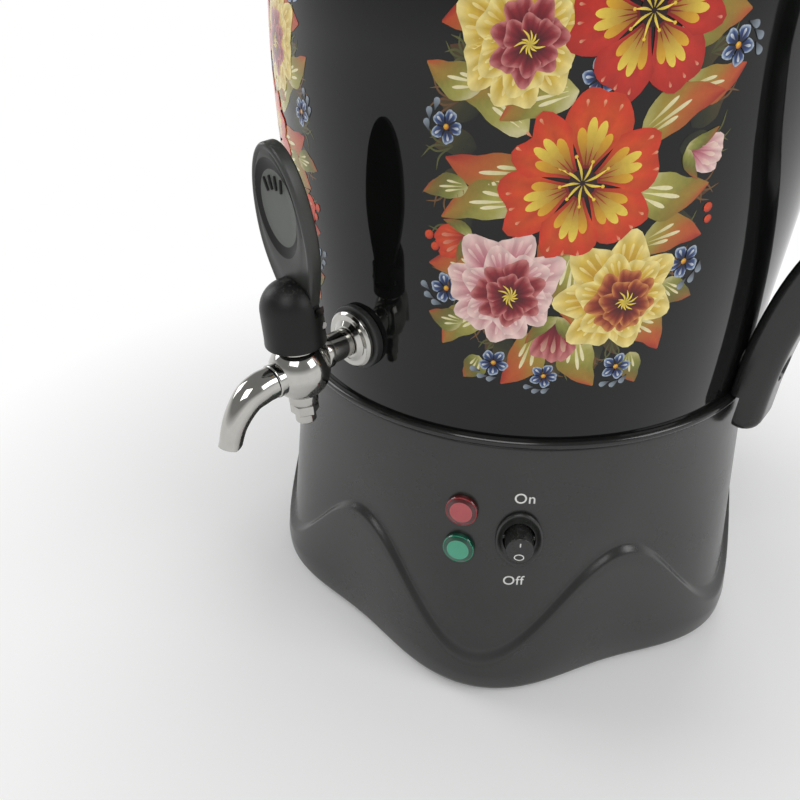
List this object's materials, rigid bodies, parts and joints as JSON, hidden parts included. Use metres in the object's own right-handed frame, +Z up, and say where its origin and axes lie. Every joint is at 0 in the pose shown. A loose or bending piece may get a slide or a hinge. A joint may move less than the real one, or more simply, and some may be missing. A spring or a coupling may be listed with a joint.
{
  "type": "electric samovar",
  "caption": "Electric samovar with a round black tank on a lobed plastic base, a lever tap, side handles, a lift-off lid with a teapot stand, pilot lamps and a rocker switch.",
  "frame": {"origin": "on the tank's axis at the underside of the bottom cover's middle pad, 2 mm above the table, within the frame check's tolerance of z = 0", "axes": "+Z up along the tank's axis, -Y the way the tap points, X through the two handles"},
  "size_m": [0.3418, 0.294, 0.3689],
  "materials": {
    "black_plastic": "satin black moulded plastic",
    "black_enamel": "glossy black enamel on sheet steel",
    "black_rubber": "black rubber",
    "clear_silicone": "milky silicone",
    "chrome": "polished chrome plate on brass",
    "steel": "bright steel",
    "aluminium": "plain aluminium",
    "brass": "plain brass",
    "pale_phenolic": "pale phenolic moulding",
    "red_lens": "clear red lamp lens",
    "green_lens": "clear green lamp lens"
  },
  "bodies": {
    "samovar": {"base_housing": "black_plastic", "body_shell": "black_enamel", "boil_thermostat": "pale_phenolic", "bottom_cover": "black_plastic", "cover_screw_1": "steel", "cover_screw_2": "steel", "cover_screw_3": "steel", "foot_1": "black_rubber", "foot_2": "black_rubber", "foot_3": "black_rubber", "foot_4": "black_rubber", "foot_5": "black_rubber", "foot_6": "black_rubber", "handle_boss_left": "steel", "handle_boss_right": "steel", "handle_bracket_left": "steel", "handle_bracket_right": "steel", "handle_left": "black_plastic", "handle_lower_screw_left": "steel", "handle_lower_screw_right": "steel", "handle_right": "black_plastic", "handle_upper_screw_left": "steel", "handle_upper_screw_right": "steel", "heater_element": "steel", "heater_plate": "aluminium", "inlet_pin_earth": "brass", "inlet_pin_live": "brass", "inlet_pin_neutral": "brass", "keep_warm_thermostat": "pale_phenolic", "lamp_holder_green": "pale_phenolic", "lamp_holder_red": "pale_phenolic", "lamp_lens_green": "green_lens", "lamp_lens_red": "red_lens", "lever_pin": "steel", "mouth_rim": "black_plastic", "power_inlet": "black_plastic", "seam_ring": "black_rubber", "stem_guide": "brass", "switch_bezel": "black_plastic", "tank_floor": "steel", "tap_body": "chrome", "tap_bonnet": "black_plastic", "tap_flange": "chrome", "tap_gasket": "black_rubber", "tap_inner_washer": "clear_silicone", "tap_locknut": "brass", "tap_plug": "chrome", "tap_spout": "chrome", "tap_spring": "steel", "thermal_fuse": "aluminium"},
    "lever": {"tap_lever": "black_plastic"},
    "stem": {"tap_stem": "steel", "tap_seal": "clear_silicone"},
    "rocker": {"rocker": "black_plastic"},
    "lid": {"lid": "black_enamel", "lid_gasket": "clear_silicone", "teapot_stand": "chrome", "lid_knob_right": "black_plastic", "lid_knob_left": "black_plastic"}
  },
  "joints": [
    {"name": "lever_hinge", "type": "hinge", "parent": "samovar", "child": "lever", "pos_m": [0, -0.1295, 0.173], "axis": [-1, 0, 0], "range_deg": [0, 22]},
    {"name": "stem_lift", "type": "slide", "parent": "samovar", "child": "stem", "axis": [0, 0, 1], "range_m": [0, 0.00249], "stiffness_N_per_m": 800, "springref_m": -0.008, "deforming": ["tap_spring"]},
    {"name": "rocker_hinge", "type": "hinge", "parent": "samovar", "child": "rocker", "pos_m": [0.06793, -0.09015, 0.08507], "axis": [-0.7986, -0.6018, 0], "range_deg": [0, 18]},
    {"name": "lid_lift", "type": "slide", "parent": "samovar", "child": "lid", "axis": [0, 0, 1], "range_m": [0, 0.04]}
  ],
  "couplings": [
    {"joint": "lever_hinge", "follows": "stem_lift", "rad_per_m": 153.85}
  ]
}
